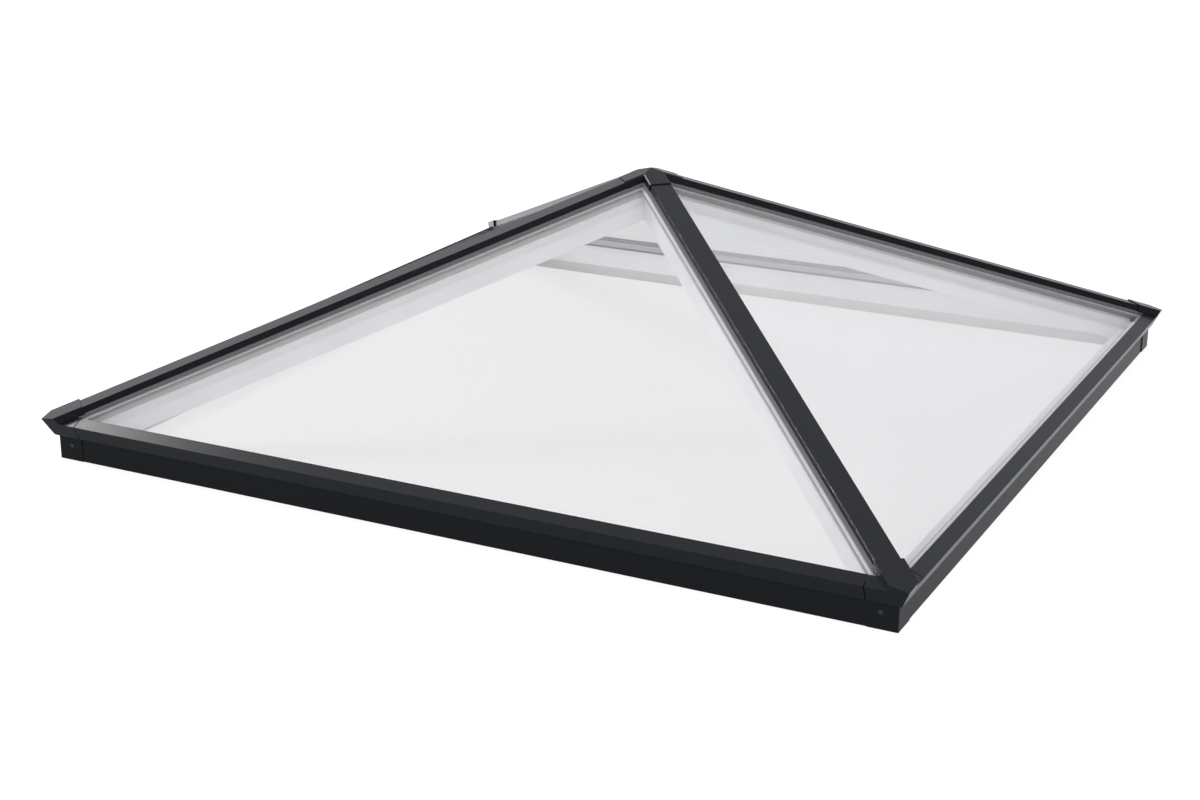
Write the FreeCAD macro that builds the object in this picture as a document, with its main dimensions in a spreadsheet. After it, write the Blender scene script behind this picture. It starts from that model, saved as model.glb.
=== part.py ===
import FreeCAD, Part
import math
import os
import Sketcher

# Square roof lantern: a mitred ring beam on a kerb, four hip bars rising to a hub, four sealed glass
# units, and outside caps over the eaves, hips, corners and apex. The origin is the middle of the
# underside, Z is up and the front looks along -Y.

# Driving sizes in millimetres, the pitch in degrees.
SIZES = (
    ("frame_side", 1996, "width over the outside faces of the ring beam"),
    ("pitch", 25.2, "slope of the glass"),
    ("eave_height", 91.8, "height of the glass face above the outside face of the ring beam"),
    ("beam_depth", 26, "depth of the ring beam's box, outside to inside"),
    ("beam_wall", 3, "wall of the ring beam"),
    ("beam_flange", 31, "base flange inside the box, which is screwed to the kerb"),
    ("upstand_gap", 8, "glass stop on the ring beam, measured down the slope from the eave line"),
    ("fixing_span", 700, "outer fixing holes each side of the middle of a beam"),
    ("fixing_hole", 6.5, "diameter of a fixing hole"),
    ("lining_wall", 2, "sheet of the white lining"),
    ("lining_skirt", 28.5, "upright lower part of the lining"),
    ("lining_lip", 18, "top of the lining, in from the ring beam's box"),
    ("lining_lip_height", 15.5, "upright top part of the lining"),
    ("sheet_glass", 4, "one sheet of glass"),
    ("glass_cavity", 16, "gap between the two sheets of a unit"),
    ("glass_eave_reach", 6, "glass past the eave line, down the slope"),
    ("glass_hip_gap", 17, "edge of the glass from the hip line, in the plane of the glass"),
    ("glass_tip", 30, "blunt tip of the glass from the middle, in plan"),
    ("spacer_width", 19, "width of the spacer bar with its edge seal"),
    ("sightline_hip", 39, "inner edge of the spacer from the hip line"),
    ("spacer_setback", 28, "inner edge of the spacer behind the top of the lining, in plan"),
    ("gasket_outer", 7, "gasket between glass and caps"),
    ("gasket_inner", 5, "gasket between glass and bars"),
    ("gasket_lip", 4.5, "outer gasket that shows beyond a hip cap"),
    ("cap_wall", 2.2, "sheet of the outside caps"),
    ("eaves_cap_top", 31.4, "width of the eaves cap's top face"),
    ("eaves_cap_reach", 23.1, "outside of the eaves cap, down the slope from the eave line"),
    ("eaves_cap_lip", 0.5, "lip of the eaves cap that stands on the gasket"),
    ("eaves_cap_leg", 37.3, "height of the eaves cap's outside face"),
    ("eaves_cap_joint", 2, "gap between eaves cap and corner cap"),
    ("corner_leg", 63.7, "length of a corner cap along the ring beam's face"),
    ("cover_wall", 2, "thickness of the corner covers"),
    ("cover_clearance", 1.5, "gap between corner cover and corner cap"),
    ("hip_bar_width", 46, "width of a hip bar"),
    ("hip_bar_drop", 94.5, "underside of a hip bar below the hip line"),
    ("hip_bar_wall", 2.5, "wall of a hip bar"),
    ("hip_web", 10, "web of the hip bar between the glass units"),
    ("hip_cap_width", 50.5, "width of a hip cap"),
    ("hip_cap_rise", 14.9, "top of a hip cap above the hip line"),
    ("cap_overlap", 30, "hip cap that runs under the corner and apex caps"),
    ("sleeve_wall", 2.6, "sheet of the corner cap where it covers the hip cap"),
    ("sleeve_gap", 2, "clearance between the sleeve's sides and the hip cap"),
    ("sleeve_lift", 0.4, "clearance between the sleeve's top and the hip cap"),
    ("sleeve_setback", 38.7, "start of the sleeve, in plan from the ring beam's face"),
    ("apex_arm", 70, "length of an apex cap arm, measured down the hip"),
    ("apex_wall", 2, "side sheet of the apex cap"),
    ("apex_top", 2.6, "top sheet of the apex cap"),
    ("apex_bevel", 3, "bevel along the arms of the apex cap"),
    ("hub_rise", 58, "height of the hub"),
)

# Direction in which each side faces and each corner points, in degrees about Z from +X.
SIDES = {"right": 0, "back": 90, "left": 180, "front": 270}
CORNERS = {"back_right": 45, "back_left": 135, "front_left": 225, "front_right": 315}

doc = FreeCAD.newDocument("roof_lantern")
dims = doc.addObject("Spreadsheet::Sheet", "dims")
for row, (alias, value, note) in enumerate(SIZES, 1):
    dims.set(f"A{row}", note)
    dims.set(f"B{row}", str(value))
    dims.setAlias(f"B{row}", alias)
doc.recompute()

# Shapes of the roof that every part shares, as expressions of the sheet.
HALF = "(dims.frame_side / 2)"
SIN = "sin(dims.pitch * 1 deg)"
COS = "cos(dims.pitch * 1 deg)"
TAN = "tan(dims.pitch * 1 deg)"
APEX = f"(dims.eave_height + {HALF} * {TAN})"
HIP_SLOPE = f"atan({TAN} / sqrt(2))"
HIP_SIN = f"sin({HIP_SLOPE})"
HIP_COS = f"cos({HIP_SLOPE})"
CANT = f"atan({HIP_SIN})"
GLASS_UNIT = "(2 * dims.sheet_glass + dims.glass_cavity)"
LEDGE = f"(-{GLASS_UNIT} - dims.gasket_inner)"
CAP_UNDER = "(dims.gasket_outer + dims.eaves_cap_lip)"
CAP_TOP = f"({CAP_UNDER} + dims.cap_wall)"


def on_slope(down, up):
    """Distance out and height of a point down the slope from the eave line and up off the glass."""
    out = f"{HALF} + ({down}) * {COS} + ({up}) * {SIN}"
    height = f"dims.eave_height - ({down}) * {SIN} + ({up}) * {COS}"
    return out, height


def slope_height(out, up):
    """Height, at a distance out from the middle, of the plane that lies up off the glass."""
    return f"dims.eave_height + ({HALF} - ({out})) * {TAN} + ({up}) / {COS}"


def hip_level(across, up):
    """Height above the hip line, at a distance across it, of the plane that lies up off the glass."""
    return f"({up}) / cos({CANT}) - ({across}) * tan({CANT})"


def pane_half(offset, along):
    """Half width of a pane whose edges lie offset from the hip lines, at a distance up the slope."""
    return f"{HALF} - ({offset}) * sqrt(1 + {COS} ^ 2) - ({along}) * {COS}"


def new_body(name):
    body = doc.addObject("PartDesign::Body", name)
    body.Label = name
    return body


def new_sketch(body, name, plane, *loops, offset=None):
    """Sketch of closed loops of straight lines, with each corner placed by two expressions."""
    sketch = body.newObject("Sketcher::SketchObject", name)
    base = next(item for item in body.Origin.OriginFeatures if item.Role == plane)
    sketch.AttachmentSupport = [(base, "")]
    sketch.MapMode = "FlatFace"
    if offset:
        sketch.setExpression("AttachmentOffset", offset)
    for points in loops:
        first = sketch.GeometryCount
        count = len(points)
        turns = [2 * math.pi * index / count for index in range(count)]
        spots = [FreeCAD.Vector(100 * math.cos(turn), 100 * math.sin(turn), 0) for turn in turns]
        for index in range(count):
            sketch.addGeometry(Part.LineSegment(spots[index], spots[(index + 1) % count]))
        for index in range(count):
            follower = first + (index + 1) % count
            sketch.addConstraint(Sketcher.Constraint("Coincident", first + index, 2, follower, 1))
        for index, (across, up) in enumerate(points):
            spot = spots[index]
            kinds = (("DistanceX", spot.x, across), ("DistanceY", spot.y, up))
            for kind, start, expression in kinds:
                rule = Sketcher.Constraint(kind, -1, 1, first + index, 1, start)
                number = sketch.addConstraint(rule)
                sketch.setExpression(f"Constraints[{number}]", expression)
    return sketch


def add_pad(body, sketch, length, both=False, reverse=False):
    pad = body.newObject("PartDesign::Pad", f"{sketch.Name}_pad")
    pad.Profile = sketch
    pad.Midplane = both
    pad.Reversed = reverse
    pad.setExpression("Length", length)
    sketch.Visibility = False
    doc.recompute()
    return pad


def cut_through(body, sketch):
    """Pocket through the whole body, both ways from the sketch; it has to take material away."""
    before = body.Shape.Volume
    pocket = body.newObject("PartDesign::Pocket", f"{sketch.Name}_cut")
    pocket.Profile = sketch
    pocket.Type = "ThroughAll"
    pocket.Midplane = True
    doc.recompute()
    if not pocket.Shape.Volume < before:
        raise RuntimeError(f"{pocket.Name} cuts nothing")
    return pocket


def turned(angle):
    return FreeCAD.Placement(FreeCAD.Vector(0, 0, 0), FreeCAD.Rotation(angle, 0, 0))


def place_on_slope(part, angle):
    """Puts a part drawn on the glass, with Y up the slope, on the side that faces angle."""
    out_x = round(math.cos(math.radians(angle)))
    out_y = round(math.sin(math.radians(angle)))
    spot = f"vector({out_x} * {HALF}; {out_y} * {HALF}; dims.eave_height)"
    part.setExpression("Placement", f"placement({spot}; rotation({angle + 90}; 0; dims.pitch))")


def hip_plane(start):
    """Attachment offset of a sketch square to the hip that runs down over +X, at a distance down it."""
    spot = f"vector(0; {APEX} - ({start}) * {HIP_SIN}; ({start}) * {HIP_COS})"
    return f"placement({spot}; rotation(0; 0; {HIP_SLOPE} / 1 deg))"


def mitre(reach_in, reach_out, hand):
    """Plan triangle past the mitre line, on one hand of a side that faces +X."""
    near = f"{HALF} - ({reach_in})"
    far = f"{HALF} + ({reach_out})"
    return [(near, f"{hand} * ({near})"), (far, f"{hand} * ({far})"), (near, f"{hand} * ({far})")]


# Levels and lines that more than one part meets.
BOX_INSIDE = f"{HALF} - dims.beam_depth"
FLANGE_END = f"{HALF} - dims.beam_depth - dims.beam_flange"
LINING_FOOT = f"{FLANGE_END} - dims.lining_wall"
LINING_TOP = f"{BOX_INSIDE} - dims.lining_lip"
LIP_BASE = f"{slope_height(LINING_TOP, LEDGE)} - dims.lining_lip_height"
CORNER_END = f"({HALF} + dims.cover_wall - dims.corner_leg)"
CAP_FOOT = on_slope("dims.eaves_cap_reach", f"{CAP_TOP} - dims.eaves_cap_leg")
SLEEVE_START = f"(sqrt(2) * ({HALF} - dims.sleeve_setback) / {HIP_COS})"


def ring_beam(side, angle):
    """Box section with a base flange, a sloping ledge for the glass and a stop at the glass edge."""
    stop_far = "dims.upstand_gap + dims.beam_wall"
    outside = [
        (HALF, "0"),
        (HALF, slope_height(HALF, LEDGE)),
        on_slope(stop_far, LEDGE),
        on_slope(stop_far, CAP_UNDER),
        on_slope("dims.upstand_gap", CAP_UNDER),
        on_slope("dims.upstand_gap", LEDGE),
        (BOX_INSIDE, slope_height(BOX_INSIDE, LEDGE)),
        (BOX_INSIDE, "dims.beam_wall"),
        (FLANGE_END, "dims.beam_wall"),
        (FLANGE_END, "0"),
    ]
    wall_out = f"{HALF} - dims.beam_wall"
    wall_in = f"{BOX_INSIDE} + dims.beam_wall"
    roof = f"{LEDGE} - dims.beam_wall"
    inside = [
        (wall_out, "dims.beam_wall"),
        (wall_out, slope_height(wall_out, roof)),
        (wall_in, slope_height(wall_in, roof)),
        (wall_in, "dims.beam_wall"),
    ]
    name = f"ring_beam_{side}"
    body = new_body(name)
    section = new_sketch(body, f"{name}_section", "XZ_Plane", outside, inside)
    add_pad(body, section, "dims.frame_side + 60", both=True)
    reach_in = "dims.beam_depth + dims.beam_flange + 20"
    ends = [mitre(reach_in, "60", hand) for hand in (1, -1)]
    cut_through(body, new_sketch(body, f"{name}_mitre", "XY_Plane", *ends))
    holes = body.newObject("Sketcher::SketchObject", f"{name}_holes")
    base = next(item for item in body.Origin.OriginFeatures if item.Role == "XY_Plane")
    holes.AttachmentSupport = [(base, "")]
    holes.MapMode = "FlatFace"
    for index, place in enumerate(("-dims.fixing_span", "0", "dims.fixing_span")):
        spot = FreeCAD.Vector(900, 300 * (index - 1), 0)
        holes.addGeometry(Part.Circle(spot, FreeCAD.Vector(0, 0, 1), 3))
        middle = f"({BOX_INSIDE} + {FLANGE_END}) / 2"
        rules = (
            (Sketcher.Constraint("DistanceX", -1, 1, index, 3, spot.x), middle),
            (Sketcher.Constraint("DistanceY", -1, 1, index, 3, spot.y), place),
            (Sketcher.Constraint("Diameter", index, 6), "dims.fixing_hole"),
        )
        for rule, expression in rules:
            number = holes.addConstraint(rule)
            holes.setExpression(f"Constraints[{number}]", expression)
    cut_through(body, holes)
    body.Placement = turned(angle)
    return body


def ring_lining(side, angle):
    """Clip-on sheet lining that hides the box and its screws from the room."""
    wall = "dims.lining_wall"
    lip_back = f"{LINING_TOP} + {wall}"
    section = [
        (LINING_FOOT, "0"),
        (LINING_FOOT, "dims.lining_skirt"),
        (LINING_TOP, LIP_BASE),
        (LINING_TOP, slope_height(LINING_TOP, LEDGE)),
        (BOX_INSIDE, slope_height(BOX_INSIDE, LEDGE)),
        (BOX_INSIDE, f"{slope_height(BOX_INSIDE, LEDGE)} - {wall}"),
        (lip_back, f"{slope_height(lip_back, LEDGE)} - {wall}"),
        (lip_back, LIP_BASE),
        (FLANGE_END, "dims.lining_skirt"),
        (FLANGE_END, "0"),
    ]
    name = f"ring_lining_{side}"
    body = new_body(name)
    add_pad(body, new_sketch(body, f"{name}_section", "XZ_Plane", section), "dims.frame_side", both=True)
    reach_in = "dims.beam_depth + dims.beam_flange + dims.lining_wall + 20"
    ends = [mitre(reach_in, "60", hand) for hand in (1, -1)]
    cut_through(body, new_sketch(body, f"{name}_mitre", "XY_Plane", *ends))
    body.Placement = turned(angle)
    return body


def corner_cover(corner, angle):
    """Bent plate over the mitre of the ring beam."""
    face = f"{HALF} + dims.cover_wall"
    plan = [
        (face, face),
        (CORNER_END, face),
        (CORNER_END, HALF),
        (HALF, HALF),
        (HALF, CORNER_END),
        (face, CORNER_END),
    ]
    name = f"corner_cover_{corner}"
    body = new_body(name)
    sketch = new_sketch(body, f"{name}_plan", "XY_Plane", plan)
    add_pad(body, sketch, f"{CAP_FOOT[1]} - dims.cover_clearance")
    body.Placement = turned(angle - 45)
    return body


def eaves_section():
    """Eaves cap: top sheet with a lip on the gasket, outside sheet square to it, foot on the ring beam."""
    wall = "dims.cap_wall"
    reach = "dims.eaves_cap_reach"
    inner = f"{reach} - {wall}"
    head = f"{reach} - dims.eaves_cap_top"
    lip = f"{head} + {wall}"
    return [
        on_slope(head, CAP_TOP),
        on_slope(reach, CAP_TOP),
        CAP_FOOT,
        (HALF, CAP_FOOT[1]),
        (HALF, f"{CAP_FOOT[1]} + {wall}"),
        on_slope(inner, f"{CAP_TOP} - dims.eaves_cap_leg + {wall} * (1 - {SIN}) / {COS}"),
        on_slope(inner, CAP_UNDER),
        on_slope(lip, CAP_UNDER),
        on_slope(lip, "dims.gasket_outer"),
        on_slope(head, "dims.gasket_outer"),
    ]


def eaves_cap(side, angle):
    name = f"eaves_cap_{side}"
    body = new_body(name)
    length = f"2 * ({CORNER_END} - dims.eaves_cap_joint)"
    add_pad(body, new_sketch(body, f"{name}_section", "XZ_Plane", eaves_section()), length, both=True)
    body.Placement = turned(angle)
    return body


def hip_cap(corner, angle):
    """Channel over the joint between two glass units; its edges stand on the gaskets."""
    half = "dims.hip_cap_width / 2"
    inner = f"{half} - dims.cap_wall"
    under = "dims.hip_cap_rise - dims.cap_wall"
    section = [
        (f"-({half})", hip_level(half, "dims.gasket_outer")),
        (f"-({half})", "dims.hip_cap_rise"),
        (half, "dims.hip_cap_rise"),
        (half, hip_level(half, "dims.gasket_outer")),
        (inner, hip_level(inner, "dims.gasket_outer")),
        (inner, under),
        (f"-({inner})", under),
        (f"-({inner})", hip_level(inner, "dims.gasket_outer")),
    ]
    name = f"hip_cap_{corner}"
    start = "(dims.apex_arm - dims.cap_overlap)"
    body = new_body(name)
    sketch = new_sketch(body, f"{name}_section", "YZ_Plane", section, offset=hip_plane(start))
    add_pad(body, sketch, f"{SLEEVE_START} + dims.cap_overlap - {start}")
    body.Placement = turned(angle)
    return body


def hip_bar_blank():
    """Hip bar over +X, cut upright where it meets the hub and still too long at its foot."""
    half = "dims.hip_bar_width / 2"
    web = "dims.hip_web / 2"
    base = "-dims.hip_bar_drop"
    head = "dims.hip_cap_rise - dims.cap_wall"
    outside = [
        (f"-({half})", base),
        (half, base),
        (half, hip_level(half, LEDGE)),
        (web, hip_level(web, LEDGE)),
        (web, head),
        (f"-({web})", head),
        (f"-({web})", hip_level(web, LEDGE)),
        (f"-({half})", hip_level(half, LEDGE)),
    ]
    inner = f"{half} - dims.hip_bar_wall"
    floor = f"{base} + dims.hip_bar_wall"
    roof = f"{hip_level(half, LEDGE)} - dims.hip_bar_wall"
    inside = [(f"-({inner})", floor), (inner, floor), (inner, roof), (f"-({inner})", roof)]
    body = new_body("hip_bar_blank")
    back = "(-dims.hip_bar_drop)"
    section = new_sketch(body, "hip_bar_section", "YZ_Plane", outside, inside, offset=hip_plane(back))
    add_pad(body, section, f"sqrt(2) * {HALF} / {HIP_COS} - {back}")
    far = "dims.hip_bar_drop * 3"
    butt = [
        (f"-({far})", f"{APEX} + {far}"),
        (half, f"{APEX} + {far}"),
        (half, f"{APEX} - {far}"),
        (f"-({far})", f"{APEX} - {far}"),
    ]
    cut_through(body, new_sketch(body, "hip_bar_butt", "XZ_Plane", butt))
    body.Placement = turned(45)
    return body


def lining_room():
    """Everything behind the room face of the lining, on all four sides, to cope the hip bars to it."""
    far = f"{HALF} + 200"
    section = [
        (LINING_FOOT, "-100"),
        (LINING_FOOT, "dims.lining_skirt"),
        (LINING_TOP, LIP_BASE),
        (LINING_TOP, "dims.eave_height + 200"),
        (far, "dims.eave_height + 200"),
        (far, "-100"),
    ]
    body = new_body("lining_room")
    sketch = new_sketch(body, "lining_room_section", "XZ_Plane", section)
    pad = add_pad(body, sketch, f"2 * ({far})", both=True)
    pattern = body.newObject("PartDesign::PolarPattern", "lining_room_sides")
    pattern.Originals = [pad]
    pattern.Axis = (next(item for item in body.Origin.OriginFeatures if item.Role == "Z_Axis"), [""])
    pattern.Angle = 360
    pattern.Occurrences = 4
    body.Tip = pattern
    doc.recompute()
    return body


def sheet(name, top, thickness, corners, hole=None):
    """Flat piece parallel to the glass, drawn in its plane with Y up the slope from the eave line."""
    body = new_body(name)
    loops = [corners]
    if hole:
        loops.append(hole)
    offset = f"placement(vector(0; 0; {top}); rotation(0; 0; 0))"
    sketch = new_sketch(body, f"{name}_outline", "XY_Plane", *loops, offset=offset)
    add_pad(body, sketch, thickness, reverse=True)
    return body


def pane_outline(offset, base, tip):
    """Blunt triangle: base above the eave line up the slope, tip from the middle in plan."""
    top = f"({HALF} - ({tip})) / {COS}"
    return [
        (f"-({pane_half(offset, base)})", base),
        (pane_half(offset, base), base),
        (pane_half(offset, top), top),
        (f"-({pane_half(offset, top)})", top),
    ]


def pane_opening(offset, base):
    """Sharp triangle inside a frame."""
    top = f"({HALF} - ({offset}) * sqrt(1 + {COS} ^ 2)) / {COS}"
    return [(f"-({pane_half(offset, base)})", base), (pane_half(offset, base), base), ("0", top)]


def arm(corner, angle):
    """Mitred quarter of the apex cap: a channel with bevelled edges."""
    half = "dims.hip_cap_width / 2 + dims.apex_wall"
    inner = "dims.hip_cap_width / 2"
    top = "dims.hip_cap_rise + dims.apex_top"
    bevel = "dims.apex_bevel"
    section = [
        (f"-({half})", hip_level(half, "dims.gasket_outer")),
        (f"-({half})", f"{top} - {bevel}"),
        (f"-({half}) + {bevel}", top),
        (f"{half} - {bevel}", top),
        (half, f"{top} - {bevel}"),
        (half, hip_level(half, "dims.gasket_outer")),
        (inner, hip_level(inner, "dims.gasket_outer")),
        (inner, "dims.hip_cap_rise"),
        (f"-({inner})", "dims.hip_cap_rise"),
        (f"-({inner})", hip_level(inner, "dims.gasket_outer")),
    ]
    name = f"apex_arm_{corner}"
    body = new_body(name)
    back = "(-dims.hip_cap_width)"
    sketch = new_sketch(body, f"{name}_section", "YZ_Plane", section, offset=hip_plane(back))
    add_pad(body, sketch, f"dims.apex_arm - {back}")
    far = "dims.apex_arm * 4"
    others = [("0", "0"), (far, far), (f"-{far}", far), (f"-{far}", f"-{far}"), (far, f"-{far}")]
    cut_through(body, new_sketch(body, f"{name}_mitre", "XY_Plane", others))
    body.Placement = turned(angle)
    return body


def corner_wing(name, hand):
    """Eaves cap section from the end of the eaves cap to the mitre, on one hand of the +X side."""
    body = new_body(name)
    offset = f"placement(vector(0; 0; {-hand} * {CORNER_END}); rotation(0; 0; 0))"
    section = new_sketch(body, f"{name}_section", "XZ_Plane", eaves_section(), offset=offset)
    add_pad(body, section, "dims.corner_leg + 60", reverse=hand > 0)
    reach_in = "dims.eaves_cap_top - dims.eaves_cap_reach + 10"
    cut_through(body, new_sketch(body, f"{name}_mitre", "XY_Plane", mitre(reach_in, "90", hand)))
    return body


def hip_block(name, section, start, reach):
    """Length of hip over the corner at 45 degrees, ended by the outside faces of the two eaves caps."""
    body = new_body(name)
    sketch = new_sketch(body, f"{name}_section", "YZ_Plane", section, offset=hip_plane(start))
    add_pad(body, sketch, "2 * (dims.sleeve_setback + dims.eaves_cap_reach) + 60")
    low = on_slope(reach, "-90")
    high = on_slope(reach, "90")
    beyond = [low, (f"{HALF} + 300", low[1]), (f"{HALF} + 300", high[1]), high]
    for hand, label in ((45, "left"), (-45, "right")):
        offset = f"placement(vector(0; 0; 0); rotation(0; {hand}; 0))"
        cut_through(body, new_sketch(body, f"{name}_{label}_end", "XZ_Plane", beyond, offset=offset))
    body.Placement = turned(45)
    return body


def corner_shell():
    """Two mitred wings and the solid block over the hip, before the block is hollowed."""
    half = "dims.hip_cap_width / 2 + dims.sleeve_gap + dims.sleeve_wall"
    top = "dims.hip_cap_rise + dims.sleeve_lift + dims.sleeve_wall"
    section = [
        (f"-({half})", hip_level(half, "dims.gasket_outer")),
        (f"-({half})", top),
        (half, top),
        (half, hip_level(half, "dims.gasket_outer")),
        ("0", hip_level("0", "dims.gasket_outer")),
    ]
    near = corner_wing("corner_wing_near", 1)
    far = corner_wing("corner_wing_far", -1)
    far.Placement = turned(90)
    block = hip_block("corner_block", section, SLEEVE_START, "dims.eaves_cap_reach")
    shell = doc.addObject("Part::MultiFuse", "corner_shell")
    shell.Shapes = [near, far, block]
    return shell


def corner_hollow():
    """Space inside a corner cap that the hip cap runs into."""
    half = "dims.hip_cap_width / 2 + dims.sleeve_gap"
    top = "dims.hip_cap_rise + dims.sleeve_lift"
    base = f"{hip_level(half, 'dims.gasket_outer')} - dims.hip_cap_rise"
    section = [(f"-({half})", base), (f"-({half})", top), (half, top), (half, base)]
    reach = "dims.eaves_cap_reach - dims.cap_wall"
    return hip_block("corner_hollow", section, f"{SLEEVE_START} - 5", reach)


def build():
    """All sub-parts by label."""
    parts = {}
    outer_sheet = sheet(
        "outer_sheet",
        "0",
        "dims.sheet_glass",
        pane_outline("dims.glass_hip_gap", "-dims.glass_eave_reach", "dims.glass_tip"),
    )
    inner_sheet = sheet(
        "inner_sheet",
        "-dims.sheet_glass - dims.glass_cavity",
        "dims.sheet_glass",
        pane_outline("dims.glass_hip_gap", "-dims.glass_eave_reach", "dims.glass_tip"),
    )
    gasket_edge = pane_outline("dims.glass_hip_gap + 1", "-dims.glass_eave_reach + 1", "dims.glass_tip + 2")
    outer_gasket = sheet(
        "outer_gasket",
        "dims.gasket_outer",
        "dims.gasket_outer",
        gasket_edge,
        pane_opening(
            f"dims.hip_cap_width / 2 / cos({CANT}) + dims.gasket_lip",
            "dims.eaves_cap_top - dims.eaves_cap_reach",
        ),
    )
    inner_gasket = sheet(
        "inner_gasket",
        f"-{GLASS_UNIT}",
        "dims.gasket_inner",
        gasket_edge,
        pane_opening(
            f"(dims.hip_bar_width / 2 + {GLASS_UNIT} * sin({CANT})) / cos({CANT})",
            f"(dims.beam_depth - {GLASS_UNIT} * {SIN}) / {COS}",
        ),
    )
    for side, angle in SIDES.items():
        parts[f"ring_beam_{side}"] = ring_beam(side, angle)
        parts[f"ring_lining_{side}"] = ring_lining(side, angle)
        parts[f"eaves_cap_{side}"] = eaves_cap(side, angle)
        for name, solids in (
            (f"glass_unit_{side}", [outer_sheet, inner_sheet]),
            (f"gasket_{side}", [outer_gasket, inner_gasket]),
        ):
            group = doc.addObject("Part::Compound", name)
            group.Links = solids
            place_on_slope(group, angle)
            parts[name] = group
        sightline = f"(dims.beam_depth + dims.lining_lip - dims.spacer_setback) / {COS}"
        bar_out = pane_outline(
            "dims.sightline_hip - dims.spacer_width",
            f"{sightline} - dims.spacer_width",
            "dims.glass_tip + 4",
        )
        bar_in = pane_opening("dims.sightline_hip", sightline)
        spacer = sheet(f"spacer_{side}", "-dims.sheet_glass", "dims.glass_cavity", bar_out, bar_in)
        place_on_slope(spacer, angle)
        parts[f"spacer_{side}"] = spacer
    bar_blank = hip_bar_blank()
    room = lining_room()
    shell = corner_shell()
    hollow = corner_hollow()
    for corner, angle in CORNERS.items():
        parts[f"corner_cover_{corner}"] = corner_cover(corner, angle)
        parts[f"hip_cap_{corner}"] = hip_cap(corner, angle)
        for name, base, tool in (
            (f"hip_bar_{corner}", bar_blank, room),
            (f"corner_cap_{corner}", shell, hollow),
        ):
            cut = doc.addObject("Part::Cut", name)
            cut.Base = base
            cut.Tool = tool
            cut.Refine = True
            cut.Placement = turned(angle - 45)
            parts[name] = cut
    apex = doc.addObject("Part::MultiFuse", "apex_cap")
    apex.Shapes = [arm(corner, angle) for corner, angle in CORNERS.items()]
    apex.Refine = True
    parts["apex_cap"] = apex
    hub = doc.addObject("Part::Box", "apex_hub")
    hub.setExpression("Length", "dims.hip_bar_width")
    hub.setExpression("Width", "dims.hip_bar_width")
    hub.setExpression("Height", "dims.hub_rise")
    foot = f"{APEX} - dims.hip_bar_drop / {HIP_COS} - dims.hip_bar_width / 2 * tan({HIP_SLOPE})"
    spot = f"vector(0; -dims.hip_bar_width / sqrt(2); {foot})"
    hub.setExpression("Placement", f"placement({spot}; rotation(45; 0; 0))")
    parts["apex_hub"] = hub
    return parts


parts = build()
doc.recompute()
for item in doc.Objects:
    if "Invalid" in item.State or "Error" in item.State:
        raise RuntimeError(f"{item.Name} did not build: {item.State}")
os.makedirs("parts", exist_ok=True)
for label, part in parts.items():
    part.Label = label
    shape = part.Shape
    if shape.isNull() or not shape.isValid():
        raise RuntimeError(f"{label} has no valid shape")
    shape.exportStep(f"parts/{label}.step")
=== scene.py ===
import math

import bpy
from mathutils import Matrix, Vector


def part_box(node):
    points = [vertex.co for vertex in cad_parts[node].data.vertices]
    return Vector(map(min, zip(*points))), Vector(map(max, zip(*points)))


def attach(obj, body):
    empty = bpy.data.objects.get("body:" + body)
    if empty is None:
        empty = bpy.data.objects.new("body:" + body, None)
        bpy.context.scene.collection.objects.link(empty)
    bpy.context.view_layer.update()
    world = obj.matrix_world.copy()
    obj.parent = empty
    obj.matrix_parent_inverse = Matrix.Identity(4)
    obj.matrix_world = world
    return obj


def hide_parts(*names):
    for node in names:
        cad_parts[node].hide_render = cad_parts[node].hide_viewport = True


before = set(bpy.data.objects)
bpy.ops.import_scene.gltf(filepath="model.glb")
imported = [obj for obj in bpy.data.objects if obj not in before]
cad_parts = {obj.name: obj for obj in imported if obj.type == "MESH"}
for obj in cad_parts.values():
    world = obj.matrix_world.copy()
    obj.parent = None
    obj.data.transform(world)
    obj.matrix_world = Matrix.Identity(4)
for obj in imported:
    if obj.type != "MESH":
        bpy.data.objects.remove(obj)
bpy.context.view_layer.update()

bl_info = {
    "name": "Roof lantern",
    "version": (1, 0, 0),
    "blender": (4, 5, 0),
    "location": "View3D > Sidebar > Lantern",
    "description": "Finishes, rounded caps, screws and studio for a square roof lantern",
    "category": "Object",
}

SIDES = {"front": (0, -1), "right": (1, 0), "back": (0, 1), "left": (-1, 0)}
CORNERS = ("front_left", "front_right", "back_right", "back_left")
MM = 0.001

# How bright the floor paper is to the camera and through glass, and how much light it throws back to the
# camera and to the object.
PAPER_SEEN = 0.85
PAPER_THROUGH_GLASS = 0.72
PAPER_SHADE = 0.25
PAPER_BOUNCE = 0.7
# What shines mirrors a studio that rises in level from the horizon to overhead, and towards the left wall.
OVERHEAD_RISE = 0.5
LEFT_RISE = 0.5
LEFT_STARTS, LEFT_ENDS = -0.25, -0.9
# Below the horizon it mirrors the paper: its level from the near right (0) to the far left (1), as a share of
# the brightest that the ramp holds.
FAR_LEFT = (-1.2, 1.0, 0.0)
PAPER_TONES = ((0.43, 0.15), (0.63, 0.14), (0.72, 0.165), (0.85, 0.42))
PAPER_NEAR_RIGHT, PAPER_FAR_LEFT = 0.12, 0.9
PAPER_TOP_LEVEL = 3.0
COOL_TINGE = (0.97, 0.985, 1.025, 1)


def linear(code):
    """Linear red, green and blue of an sRGB hex colour."""
    parts = [int(code[at:at + 2], 16) / 255 for at in (1, 3, 5)]
    return [part / 12.92 if part <= 0.04045 else ((part + 0.055) / 1.055) ** 2.4 for part in parts]


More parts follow.
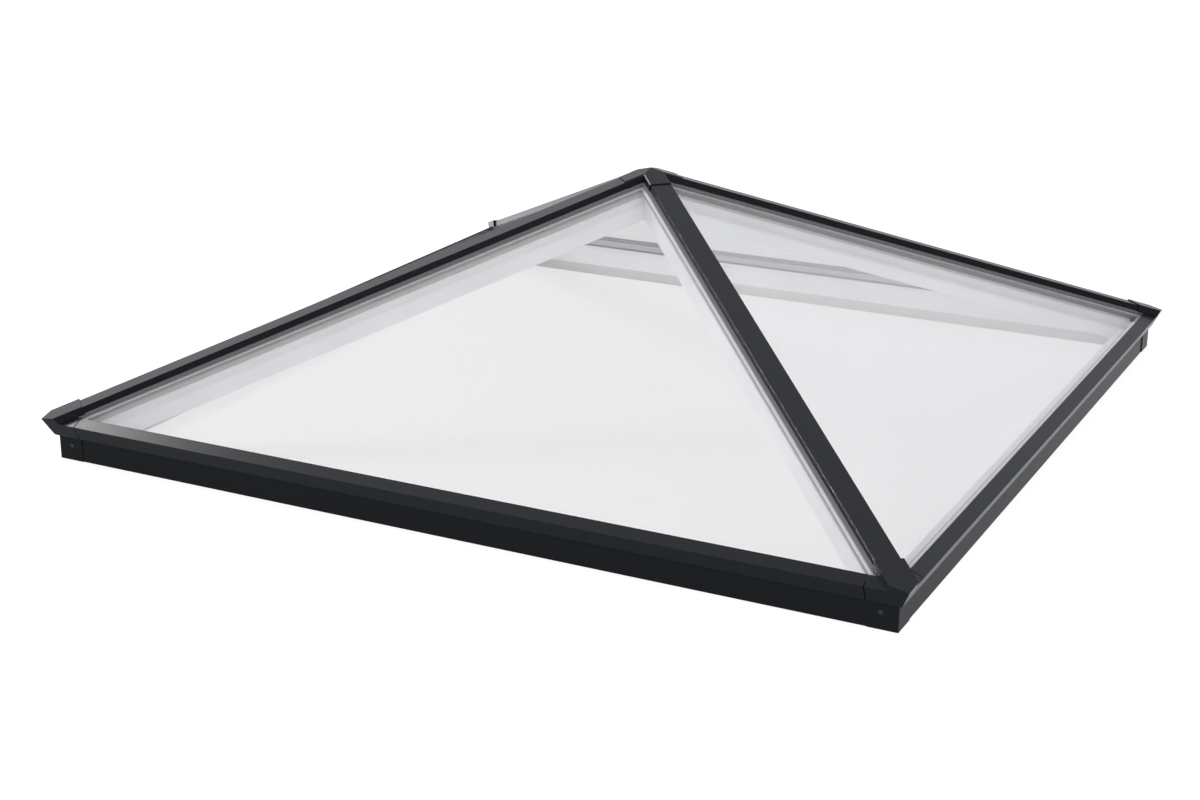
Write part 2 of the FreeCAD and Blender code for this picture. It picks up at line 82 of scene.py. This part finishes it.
class LanternFinishes(bpy.types.PropertyGroup):
    """Colours of the finishes."""

    coat: bpy.props.FloatVectorProperty(
        name="Outside coat", description="Anthracite powder coat of the caps and ring beam",
        subtype="COLOR", size=3, default=linear("#16181b"))
    lining: bpy.props.FloatVectorProperty(
        name="Inside coat", description="White powder coat of the hip bars and lining",
        subtype="COLOR", size=3, default=linear("#f2f2f5"))
    # The lining's lower strip takes a warm white that is darker than the bars' white.
    skirt: bpy.props.FloatVectorProperty(
        name="Lining skirt", description="Warm white primer of the lining's lower strip",
        subtype="COLOR", size=3, default=linear("#d3cfce"))
    glass: bpy.props.FloatVectorProperty(
        name="Glass", description="What one sheet of glass lets through",
        subtype="COLOR", size=3, default=linear("#f5f5f5"))
    # The spacer is one grey plastic. Its flat face is painted lighter and its upright faces darker, as
    # painted light and shade.
    spacer: bpy.props.FloatVectorProperty(
        name="Spacer", description="Flat face of the spacer bars in the glass units",
        subtype="COLOR", size=3, default=linear("#dddbdd"))
    spacer_shaded_wall: bpy.props.FloatVectorProperty(
        name="Spacer wall", description="Upright faces of the spacer bars",
        subtype="COLOR", size=3, default=linear("#a6a3a5"))
    rubber: bpy.props.FloatVectorProperty(
        name="Rubber", description="Outer gaskets, under the caps",
        subtype="COLOR", size=3, default=linear("#67666a"))
    tape: bpy.props.FloatVectorProperty(
        name="Glazing tape", description="Pale inner gaskets, on the bars and lining",
        subtype="COLOR", size=3, default=linear("#b4b3b5"))
    butyl: bpy.props.FloatVectorProperty(
        name="Butyl", description="Bead that seals the spacer to the glass",
        subtype="COLOR", size=3, default=linear("#6a686a"))
    screw: bpy.props.FloatVectorProperty(
        name="Screw", description="Painted heads of the corner screws",
        subtype="COLOR", size=3, default=linear("#25272a"))


class LanternSizes(bpy.types.PropertyGroup):
    """Sizes of the small shapes that the finish adds."""

    edge_round: bpy.props.FloatProperty(
        name="Edge round", description="Rounded edge of the folded and extruded caps",
        default=0.4 * MM, unit="LENGTH")
    hip_round: bpy.props.FloatProperty(
        name="Hip edge round", description="Crisper rounded edge of the extruded hip caps",
        default=0.12 * MM, unit="LENGTH")
    bed_gap: bpy.props.FloatProperty(
        name="Bedding gap", description="Film between glass and the strips that touch it",
        default=0.15 * MM, unit="LENGTH")
    bead: bpy.props.FloatProperty(
        name="Butyl bead", description="Bead that shows along the edges of a spacer",
        default=1.4 * MM, unit="LENGTH")
    skirt: bpy.props.FloatProperty(
        name="Skirt", description="Height of the lining's lower strip", default=28.2 * MM, unit="LENGTH")
    half_unit: bpy.props.FloatProperty(
        name="Half unit", description="Depth in a glass unit that parts its outer and inner sides",
        default=12 * MM, unit="LENGTH")
    screw_width: bpy.props.FloatProperty(
        name="Screw head", description="Diameter of a screw head on a corner cover",
        default=10 * MM, unit="LENGTH")
    screw_rise: bpy.props.FloatProperty(
        name="Screw rise", description="Height of a screw head",
        default=2.4 * MM, unit="LENGTH")
    screw_inset: bpy.props.FloatProperty(
        name="Screw inset", description="Screw from the corner, along the cover",
        default=36.5 * MM, unit="LENGTH")
    screw_height: bpy.props.FloatProperty(
        name="Screw height", description="Screw above the kerb",
        default=35 * MM, unit="LENGTH")


class LanternStage(bpy.types.PropertyGroup):
    """Camera and light."""

    lens: bpy.props.FloatProperty(
        name="Lens", description="Focal length of the camera", default=61.317, unit="CAMERA")
    place: bpy.props.FloatVectorProperty(
        name="Camera place", description="Where the camera stands",
        size=3, default=(2.0741, -4.3201, 1.6463), subtype="TRANSLATION", unit="LENGTH")
    azimuth: bpy.props.FloatProperty(
        name="Azimuth", description="Camera's way round from the front side",
        default=math.radians(27.078), subtype="ANGLE")
    elevation: bpy.props.FloatProperty(
        name="Elevation", description="Camera's downward tilt",
        default=math.radians(19.05), subtype="ANGLE")
    roll: bpy.props.FloatProperty(
        name="Roll", description="Camera's turn about its line of sight",
        default=math.radians(0.169), subtype="ANGLE")
    key: bpy.props.FloatProperty(
        name="Key light", description="Power of the softbox on the left", default=128, unit="POWER")
    fill: bpy.props.FloatProperty(
        name="Fill light", description="Power of the softbox on the right", default=100, unit="POWER")
    ambient: bpy.props.FloatProperty(
        name="Ambient", description="Level of the light from all round", default=1.0, min=0, max=1)
    mirrored: bpy.props.FloatProperty(
        name="Mirrored", description="Level of the studio at the horizon in what shines",
        default=0.63, min=0, max=1)


def add_node(tree, kind, inputs=None, **settings):
    """Adds a node with its settings; an input that is given a socket is linked to it."""
    node = tree.nodes.new(kind)
    for field, value in settings.items():
        setattr(node, field, value)
    for name, value in (inputs or {}).items():
        if isinstance(value, bpy.types.NodeSocket):
            tree.links.new(value, node.inputs[name])
        else:
            node.inputs[name].default_value = value
    return node


def new_tree(name):
    """An empty node tree of a new material, with its output node."""
    material = bpy.data.materials.new(name)
    material.use_nodes = True
    tree = material.node_tree
    tree.nodes.clear()
    return material, tree, add_node(tree, "ShaderNodeOutputMaterial")


def opaque(colour):
    """A colour with full alpha, as a shader socket takes it."""
    return (*colour, 1.0)


def shade(colour, factor):
    """A colour made lighter or darker."""
    return tuple(part * factor for part in colour)


def powder_coat(name, colour, roughness, specular):
    """Polyester powder coat, baked on aluminium: satin, with a fine peel and faint cloudiness."""
    material, tree, output = new_tree(name)
    place = add_node(tree, "ShaderNodeTexCoord").outputs["Object"]
    # The true peel is about 0.5 mm across and is drawn at 4 mm so that it shows.
    peel = add_node(tree, "ShaderNodeTexNoise", {"Vector": place, "Scale": 1 / (4 * MM), "Detail": 3.0})
    cloud = add_node(tree, "ShaderNodeTexNoise", {"Vector": place, "Scale": 1 / (140 * MM), "Detail": 2.0})
    tone = add_node(tree, "ShaderNodeMixRGB", {
        "Fac": cloud.outputs["Fac"],
        "Color1": opaque(shade(colour, 0.9)),
        "Color2": opaque(shade(colour, 1.1)),
    })
    rough = add_node(tree, "ShaderNodeMapRange", {
        "Value": peel.outputs["Fac"],
        "To Min": roughness - 0.02,
        "To Max": roughness + 0.02,
    })
    bump = add_node(tree, "ShaderNodeBump", {
        "Height": peel.outputs["Fac"],
        "Strength": 0.1,
        "Distance": 0.06 * MM,
    })
    shader = add_node(tree, "ShaderNodeBsdfPrincipled", {
        "Base Color": tone.outputs["Color"],
        "Roughness": rough.outputs["Result"],
        "Specular IOR Level": specular,
        "Normal": bump.outputs["Normal"],
    })
    tree.links.new(shader.outputs["BSDF"], output.inputs["Surface"])
    return material


def float_glass(colour):
    """Clear toughened float glass: flat, polished, with faint roller waves in what it mirrors."""
    material, tree, output = new_tree("toughened_float_glass")
    place = add_node(tree, "ShaderNodeTexCoord").outputs["Object"]
    # Roller waves of the toughening furnace, about 300 mm from crest to crest.
    waves = add_node(tree, "ShaderNodeTexNoise", {"Vector": place, "Scale": 1 / (300 * MM), "Detail": 0.0})
    bump = add_node(tree, "ShaderNodeBump", {
        "Height": waves.outputs["Fac"],
        "Strength": 0.1,
        "Distance": 0.5 * MM,
    })
    shader = add_node(tree, "ShaderNodeBsdfPrincipled", {
        "Base Color": opaque(colour),
        "Roughness": 0.0,
        "IOR": 1.5,
        "Transmission Weight": 1.0,
        "Normal": bump.outputs["Normal"],
    })
    # Light that falls through the pane is not bent, so that the room side is lit evenly.
    path = add_node(tree, "ShaderNodeLightPath")
    passing = add_node(tree, "ShaderNodeMath", {
        0: path.outputs["Is Shadow Ray"],
        1: path.outputs["Is Diffuse Ray"],
    }, operation="MAXIMUM")
    # A unit behind another, after the four faces of the first, hardly mirrors, so that its edge shows.
    behind = add_node(tree, "ShaderNodeMapRange", {
        "Value": path.outputs["Transmission Depth"],
        "From Min": 3.0,
        "From Max": 4.0,
        "To Max": 0.95,
    })
    unseen = add_node(tree, "ShaderNodeMath", {
        0: passing.outputs["Value"],
        1: behind.outputs["Result"],
    }, operation="MAXIMUM")
    # A sheet is crossed at two faces, so each takes the root of what the sheet takes.
    clear = add_node(tree, "ShaderNodeBsdfTransparent", {
        "Color": opaque(0.98 * math.sqrt(part) for part in colour),
    })
    both = add_node(tree, "ShaderNodeMixShader", {
        0: unseen.outputs["Value"],
        1: shader.outputs["BSDF"],
        2: clear.outputs["BSDF"],
    })
    tree.links.new(both.outputs["Shader"], output.inputs["Surface"])
    return material


def matte_strip(name, colour, roughness, grain):
    """Extruded rubber or plastic: matte, with streaks of the grain size."""
    material, tree, output = new_tree(name)
    place = add_node(tree, "ShaderNodeTexCoord").outputs["Object"]
    streak = add_node(tree, "ShaderNodeTexNoise", {"Vector": place, "Scale": 1 / grain, "Detail": 2.0})
    tone = add_node(tree, "ShaderNodeMixRGB", {
        "Fac": streak.outputs["Fac"],
        "Color1": opaque(shade(colour, 0.88)),
        "Color2": opaque(shade(colour, 1.12)),
    })
    bump = add_node(tree, "ShaderNodeBump", {
        "Height": streak.outputs["Fac"],
        "Strength": 0.2,
        "Distance": 0.1 * MM,
    })
    shader = add_node(tree, "ShaderNodeBsdfPrincipled", {
        "Base Color": tone.outputs["Color"],
        "Roughness": roughness,
        "Specular IOR Level": 0.35,
        "Normal": bump.outputs["Normal"],
    })
    tree.links.new(shader.outputs["BSDF"], output.inputs["Surface"])
    return material


def pick(piece):
    """Makes one object the only selected and the active one."""
    bpy.ops.object.select_all(action="DESELECT")
    piece.select_set(True)
    bpy.context.view_layer.objects.active = piece


def merged_copy(node, name):
    """A copy of a solid's mesh with its triangles joined and its flat faces made whole."""
    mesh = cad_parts[node].data.copy()
    piece = bpy.data.objects.new(name, mesh)
    bpy.context.scene.collection.objects.link(piece)
    pick(piece)
    bpy.ops.object.mode_set(mode="EDIT")
    bpy.ops.mesh.select_all(action="SELECT")
    bpy.ops.mesh.remove_doubles(threshold=0.005 * MM)
    bpy.ops.mesh.dissolve_limited(angle_limit=math.radians(0.5))
    bpy.ops.object.mode_set(mode="OBJECT")
    return piece


def dress(piece, materials):
    """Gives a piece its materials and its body."""
    piece.data.materials.clear()
    for material in materials:
        piece.data.materials.append(material)
    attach(piece, "root")


def round_edges(piece, width):
    """Rounds every sharp edge; the rounds are shaded smoothly and the faces between them stay flat."""
    pick(piece)
    bevel = piece.modifiers.new("round", "BEVEL")
    bevel.width = width
    bevel.segments = 2
    bevel.limit_method = "ANGLE"
    bevel.angle_limit = math.radians(25)
    bpy.ops.object.modifier_apply(modifier=bevel.name)
    bpy.ops.object.shade_smooth_by_angle(angle=math.radians(50))
    weighted = piece.modifiers.new("flat_faces", "WEIGHTED_NORMAL")
    weighted.keep_sharp = True
    weighted.weight = 100
    bpy.ops.object.modifier_apply(modifier=weighted.name)


class LANTERN_OT_outside_caps(bpy.types.Operator):
    """Gives the caps, covers and ring beam rounded edges and the anthracite coat"""

    bl_idname = "lantern.outside_caps"
    bl_label = "Outside caps"

    def execute(self, context):
        finishes = context.scene.lantern_finishes
        sizes = context.scene.lantern_sizes
        coat = powder_coat("anthracite_powder_coat", finishes.coat, roughness=0.26, specular=0.15)
        nodes = ["apex_cap"]
        nodes += [f"{kind}_{side}" for kind in ("eaves_cap", "ring_beam") for side in SIDES]
        for kind in ("hip_cap", "corner_cap", "corner_cover"):
            nodes += [f"{kind}_{corner}" for corner in CORNERS]
        for node in nodes:
            piece = merged_copy(node, f"{node}_rounded")
            round_edges(piece, sizes.hip_round if node.startswith("hip_cap") else sizes.edge_round)
            dress(piece, [coat])
            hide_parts(node)
        return {"FINISHED"}


class LANTERN_OT_inside_bars(bpy.types.Operator):
    """Gives the hip bars, hub and lining rounded edges and the white coat"""

    bl_idname = "lantern.inside_bars"
    bl_label = "Inside bars"

    def execute(self, context):
        finishes = context.scene.lantern_finishes
        sizes = context.scene.lantern_sizes
        coat = powder_coat("white_powder_coat", finishes.lining, roughness=0.35, specular=0.4)
        # A warm white, darker than the white coat, for the lining's lower strip.
        band = powder_coat("lining_skirt_darker_white", finishes.skirt, roughness=0.5, specular=0.3)
        nodes = ["apex_hub"]
        nodes += [f"ring_lining_{side}" for side in SIDES]
        nodes += [f"hip_bar_{corner}" for corner in CORNERS]
        for node in nodes:
            piece = merged_copy(node, f"{node}_rounded")
            round_edges(piece, sizes.edge_round)
            dress(piece, [coat, band])
            # Faces below the skirt height take the darker warm white.
            if node.startswith("ring_lining"):
                for face in piece.data.polygons:
                    face.material_index = 1 if face.center.z < sizes.skirt else 0
            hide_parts(node)
        return {"FINISHED"}


def glass_normal(side):
    """Outward normal of a pane: that of the largest face of its glass."""
    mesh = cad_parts[f"glass_unit_{side}"].data
    face = max(mesh.polygons, key=lambda item: item.area)
    normal = face.normal.copy()
    return normal if normal.z > 0 else -normal


def ease_off_glass(piece, normal, gap):
    """Moves the faces that lie in the plane of the glass inwards, so that no two surfaces coincide."""
    pick(piece)
    bpy.ops.object.mode_set(mode="EDIT")
    for way in (1, -1):
        bpy.ops.mesh.select_all(action="DESELECT")
        bpy.ops.object.mode_set(mode="OBJECT")
        for face in piece.data.polygons:
            if face.normal.dot(normal) * way > 0.99:
                face.select = True
        bpy.ops.object.mode_set(mode="EDIT")
        bpy.ops.transform.translate(value=-normal * way * gap)
    bpy.ops.object.mode_set(mode="OBJECT")


def depth_of(piece, normal):
    """Depth of each face of a piece below its outermost point, along the normal."""
    top = max(vertex.co.dot(normal) for vertex in piece.data.vertices)
    return [top - face.center.dot(normal) for face in piece.data.polygons]


def add_beads(spacer, normal, width, slot):
    """Sets a strip of the given width round the flat faces of a spacer in another material."""
    for way in (1, -1):
        pick(spacer)
        bpy.ops.object.mode_set(mode="EDIT")
        bpy.ops.mesh.select_all(action="DESELECT")
        bpy.ops.object.mode_set(mode="OBJECT")
        for face in spacer.data.polygons:
            face.select = face.normal.dot(normal) * way > 0.99
        bpy.ops.object.mode_set(mode="EDIT")
        bpy.ops.mesh.inset(thickness=width, depth=0, use_select_inset=True)
        spacer.active_material_index = slot
        bpy.ops.object.material_slot_assign()
        bpy.ops.object.mode_set(mode="OBJECT")


class LANTERN_OT_glazing(bpy.types.Operator):
    """Gives the glass its finish and models the spacers' butyl beads and the gaskets"""

    bl_idname = "lantern.glazing"
    bl_label = "Glazing"

    def execute(self, context):
        finishes = context.scene.lantern_finishes
        sizes = context.scene.lantern_sizes
        glass = float_glass(finishes.glass)
        # One spacer plastic in two shades: a painted lighter flat face and painted darker walls, which stand
        # in for light and shade.
        flat = matte_strip("spacer_polypropylene_painted_lighter_flat", finishes.spacer, roughness=0.5, grain=6 * MM)
        wall = matte_strip("spacer_polypropylene_painted_darker_wall", finishes.spacer_shaded_wall, roughness=0.5, grain=6 * MM)
        butyl = matte_strip("butyl_bead", finishes.butyl, roughness=0.6, grain=5 * MM)
        rubber = matte_strip("epdm_rubber", finishes.rubber, roughness=0.55, grain=5 * MM)
        tape = matte_strip("glazing_tape", finishes.tape, roughness=0.6, grain=5 * MM)
        for side in SIDES:
            normal = glass_normal(side)
            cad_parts[f"glass_unit_{side}"].material_slots[0].material = glass

            spacer = merged_copy(f"spacer_{side}", f"spacer_{side}_beaded")
            ease_off_glass(spacer, normal, sizes.bed_gap)
            dress(spacer, [wall, flat, butyl])
            # Faces parallel to the glass take the painted lighter shade, and the upright faces the painted
            # darker one.
            for face in spacer.data.polygons:
                face.material_index = 1 if abs(face.normal.dot(normal)) > 0.99 else 0
            add_beads(spacer, normal, sizes.bead, 2)
            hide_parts(f"spacer_{side}")

            gasket = merged_copy(f"gasket_{side}", f"gasket_{side}_bedded")
            ease_off_glass(gasket, normal, sizes.bed_gap)
            dress(gasket, [rubber, tape])
            for face, depth in zip(gasket.data.polygons, depth_of(gasket, normal)):
                face.material_index = 1 if depth > sizes.half_unit else 0
            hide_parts(f"gasket_{side}")
        return {"FINISHED"}


class LANTERN_OT_corner_screws(bpy.types.Operator):
    """Models one button-head screw with a hexagon socket on each corner cover"""

    bl_idname = "lantern.corner_screws"
    bl_label = "Corner screws"

    def execute(self, context):
        sizes = context.scene.lantern_sizes
        colour = context.scene.lantern_finishes.screw
        paint = powder_coat("painted_screw_steel", colour, roughness=0.3, specular=0.6)
        _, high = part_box("corner_cover_front_right")
        reach = high.x - sizes.screw_inset
        for corner in CORNERS:
            across = -1 if corner.endswith("left") else 1
            facing = -1 if corner.startswith("front") else 1
            seat = Vector((across * reach, facing * high.x, sizes.screw_height))
            bpy.ops.object.select_all(action="DESELECT")
            bpy.ops.mesh.primitive_cylinder_add(
                vertices=40, radius=sizes.screw_width / 2, depth=sizes.screw_rise)
            screw = context.active_object
            screw.name = f"corner_screw_{corner}"
            bpy.ops.object.mode_set(mode="EDIT")
            bpy.ops.mesh.select_all(action="DESELECT")
            bpy.ops.object.mode_set(mode="OBJECT")
            for face in screw.data.polygons:
                face.select = face.normal.z > 0.9
            bpy.ops.object.mode_set(mode="EDIT")
            bpy.ops.mesh.bevel(offset=sizes.screw_rise * 0.75, segments=4, affect="EDGES")
            bpy.ops.object.mode_set(mode="OBJECT")
            bpy.ops.object.select_all(action="DESELECT")
            bpy.ops.mesh.primitive_cylinder_add(
                vertices=6, radius=sizes.screw_width * 0.29, depth=sizes.screw_rise,
                location=(0, 0, sizes.screw_rise * 0.6))
            socket = context.active_object
            pick(screw)
            cut = screw.modifiers.new("socket", "BOOLEAN")
            cut.object = socket
            cut.operation = "DIFFERENCE"
            bpy.ops.object.modifier_apply(modifier=cut.name)
            bpy.data.objects.remove(socket)
            screw.data.transform(Matrix.Translation((0, 0, sizes.screw_rise / 2)))
            screw.data.transform(Matrix.Rotation(-facing * math.pi / 2, 4, "X"))
            screw.data.transform(Matrix.Translation(seat))
            pick(screw)
            bpy.ops.object.shade_smooth_by_angle(angle=math.radians(30))
            dress(screw, [paint])
        return {"FINISHED"}


class LANTERN_OT_stage(bpy.types.Operator):
    """Adds the pale floor, the soft light and the camera"""

    bl_idname = "lantern.stage"
    bl_label = "Stage"

    def execute(self, context):
        scene = context.scene
        stage = scene.lantern_stage
        scene.view_settings.view_transform = "Standard"

        bpy.ops.object.select_all(action="DESELECT")
        bpy.ops.mesh.primitive_plane_add(size=60, location=(0, 0, -1 * MM))
        floor = context.active_object
        floor.name = "floor"
        floor.visible_glossy = False
        floor.data.materials.append(self.pale_floor())

        self.studio_world(scene, stage.ambient, stage.mirrored)
        # The key is a long, narrow box, which the left end of the front eave mirrors.
        self.softbox("key_softbox", (-4.25, -0.5, 3.6), (0.0, -0.5, 0.2), (2.2, 0.6), stage.key)
        self.softbox("fill_softbox", (4.5, -4.0, 2.2), (0.0, 0.0, 0.2), (3.0, 3.0), stage.fill)

        data = bpy.data.cameras.new("camera")
        data.lens = stage.lens
        data.sensor_width = 36
        data.clip_end = 200
        camera = bpy.data.objects.new("camera", data)
        scene.collection.objects.link(camera)
        turn = Matrix.Rotation(stage.azimuth, 4, "Z")
        tilt = Matrix.Rotation(math.pi / 2 - stage.elevation, 4, "X")
        roll = Matrix.Rotation(stage.roll, 4, "Z")
        camera.matrix_world = Matrix.Translation(stage.place) @ turn @ tilt @ roll
        scene.camera = camera
        return {"FINISHED"}

    def pale_floor(self):
        """White paper with a soft shadow: white to the camera and a little less through glass."""
        material, tree, output = new_tree("white_floor_paper")
        path = add_node(tree, "ShaderNodeLightPath").outputs
        through = add_node(tree, "ShaderNodeMapRange", {
            "Value": path["Is Transmission Ray"],
            "To Max": PAPER_THROUGH_GLASS,
        })
        level = add_node(tree, "ShaderNodeMapRange", {
            "Value": path["Is Camera Ray"],
            "To Min": through.outputs["Result"],
            "To Max": PAPER_SEEN,
        })
        glow = add_node(tree, "ShaderNodeEmission", {
            "Color": (1, 1, 1, 1),
            "Strength": level.outputs["Result"],
        })
        bounced = add_node(tree, "ShaderNodeMapRange", {
            "Value": path["Is Diffuse Ray"],
            "To Min": PAPER_SHADE,
            "To Max": PAPER_BOUNCE,
        })
        paper = add_node(tree, "ShaderNodeBsdfDiffuse", {"Color": bounced.outputs["Result"]})
        lit = add_node(tree, "ShaderNodeAddShader", {
            0: paper.outputs["BSDF"],
            1: glow.outputs["Emission"],
        })
        tree.links.new(lit.outputs["Shader"], output.inputs["Surface"])
        return material

    def studio_world(self, scene, level, mirrored):
        """White behind the object, an even light on it, and a shaded studio for what it mirrors."""
        world = bpy.data.worlds.new("studio")
        scene.world = world
        world.use_nodes = True
        tree = world.node_tree
        tree.nodes.clear()
        output = add_node(tree, "ShaderNodeOutputWorld")
        path = add_node(tree, "ShaderNodeLightPath").outputs
        seen = add_node(tree, "ShaderNodeMath", {
            0: path["Is Camera Ray"],
            1: path["Is Transmission Ray"],
        }, operation="MAXIMUM")
        towards = add_node(tree, "ShaderNodeTexCoord").outputs["Generated"]
        axes = add_node(tree, "ShaderNodeSeparateXYZ", {"Vector": towards}).outputs
        height = add_node(tree, "ShaderNodeMapRange", {
            "Value": axes["Z"],
            "To Min": mirrored,
            "To Max": mirrored + OVERHEAD_RISE,
        })
        left = add_node(tree, "ShaderNodeMapRange", {
            "Value": axes["X"],
            "From Min": LEFT_STARTS,
            "From Max": LEFT_ENDS,
            "To Max": LEFT_RISE,
        })
        walls = add_node(tree, "ShaderNodeMath", {
            0: height.outputs["Result"],
            1: left.outputs["Result"],
        })
        far_left = add_node(tree, "ShaderNodeVectorMath", {
            0: towards,
            1: FAR_LEFT,
        }, operation="DOT_PRODUCT")
        place = add_node(tree, "ShaderNodeMapRange", {
            "Value": far_left.outputs["Value"],
            "From Min": -1.5,
            "From Max": 1.5,
        })
        tone = add_node(tree, "ShaderNodeValToRGB", {"Fac": place.outputs["Result"]})
        stops = tone.color_ramp.elements
        for spot, share in PAPER_TONES:
            stops.new(spot).color = (share, share, share, 1)
        stops[0].color = (PAPER_NEAR_RIGHT, PAPER_NEAR_RIGHT, PAPER_NEAR_RIGHT, 1)
        stops[-1].color = (PAPER_FAR_LEFT, PAPER_FAR_LEFT, PAPER_FAR_LEFT, 1)
        paper = add_node(tree, "ShaderNodeMath", {
            0: tone.outputs["Color"],
            1: PAPER_TOP_LEVEL,
        }, operation="MULTIPLY")
        round_about = add_node(tree, "ShaderNodeMapRange", {
            "Value": axes["Z"],
            "From Min": -0.25,
            "From Max": -0.1,
            "To Min": paper.outputs["Value"],
            "To Max": walls.outputs["Value"],
        })
        soft = add_node(tree, "ShaderNodeMapRange", {
            "Value": path["Is Glossy Ray"],
            "To Min": level,
            "To Max": round_about.outputs["Result"],
        })
        strength = add_node(tree, "ShaderNodeMapRange", {
            "Value": seen.outputs["Value"],
            "To Min": soft.outputs["Result"],
            "To Max": 1.0,
        })
        # What shines takes on the cool tinge of daylight.
        tinge = add_node(tree, "ShaderNodeMix", {
            0: path["Is Glossy Ray"],
            6: (1, 1, 1, 1),
            7: COOL_TINGE,
        }, data_type="RGBA")
        back = add_node(tree, "ShaderNodeBackground", {
            "Color": tinge.outputs[2],
            "Strength": strength.outputs["Result"],
        })
        tree.links.new(back.outputs["Background"], output.inputs["Surface"])

    def softbox(self, name, place, target, size, power):
        """A rectangular area light at a place, turned to a target."""
        data = bpy.data.lights.new(name, "AREA")
        data.shape = "RECTANGLE"
        data.size = size[0]
        data.size_y = size[1]
        data.energy = power
        lamp = bpy.data.objects.new(name, data)
        bpy.context.scene.collection.objects.link(lamp)
        aim = (Vector(target) - Vector(place)).to_track_quat("-Z", "Y")
        lamp.matrix_world = Matrix.Translation(place) @ aim.to_matrix().to_4x4()


class LANTERN_PT_sidebar(bpy.types.Panel):
    """Lists the lantern's pieces and settings"""

    bl_idname = "LANTERN_PT_sidebar"
    bl_label = "Roof lantern"
    bl_space_type = "VIEW_3D"
    bl_region_type = "UI"
    bl_category = "Lantern"

    def draw(self, context):
        for operator in OPERATORS:
            self.layout.operator(operator.bl_idname)
        for group in ("lantern_finishes", "lantern_sizes", "lantern_stage"):
            settings = getattr(context.scene, group)
            for name in settings.__annotations__:
                self.layout.prop(settings, name)


GROUPS = {
    "lantern_finishes": LanternFinishes,
    "lantern_sizes": LanternSizes,
    "lantern_stage": LanternStage,
}
OPERATORS = (
    LANTERN_OT_outside_caps,
    LANTERN_OT_inside_bars,
    LANTERN_OT_glazing,
    LANTERN_OT_corner_screws,
    LANTERN_OT_stage,
)


def register():
    for item in (*GROUPS.values(), *OPERATORS, LANTERN_PT_sidebar):
        bpy.utils.register_class(item)
    for name, group in GROUPS.items():
        setattr(bpy.types.Scene, name, bpy.props.PointerProperty(type=group))


def unregister():
    for name in GROUPS:
        delattr(bpy.types.Scene, name)
    for item in (LANTERN_PT_sidebar, *reversed(OPERATORS), *reversed(GROUPS.values())):
        bpy.utils.unregister_class(item)


def main():
    register()
    bpy.ops.lantern.outside_caps()
    bpy.ops.lantern.inside_bars()
    bpy.ops.lantern.glazing()
    bpy.ops.lantern.corner_screws()
    bpy.ops.lantern.stage()


if __name__ == "__main__":
    main()
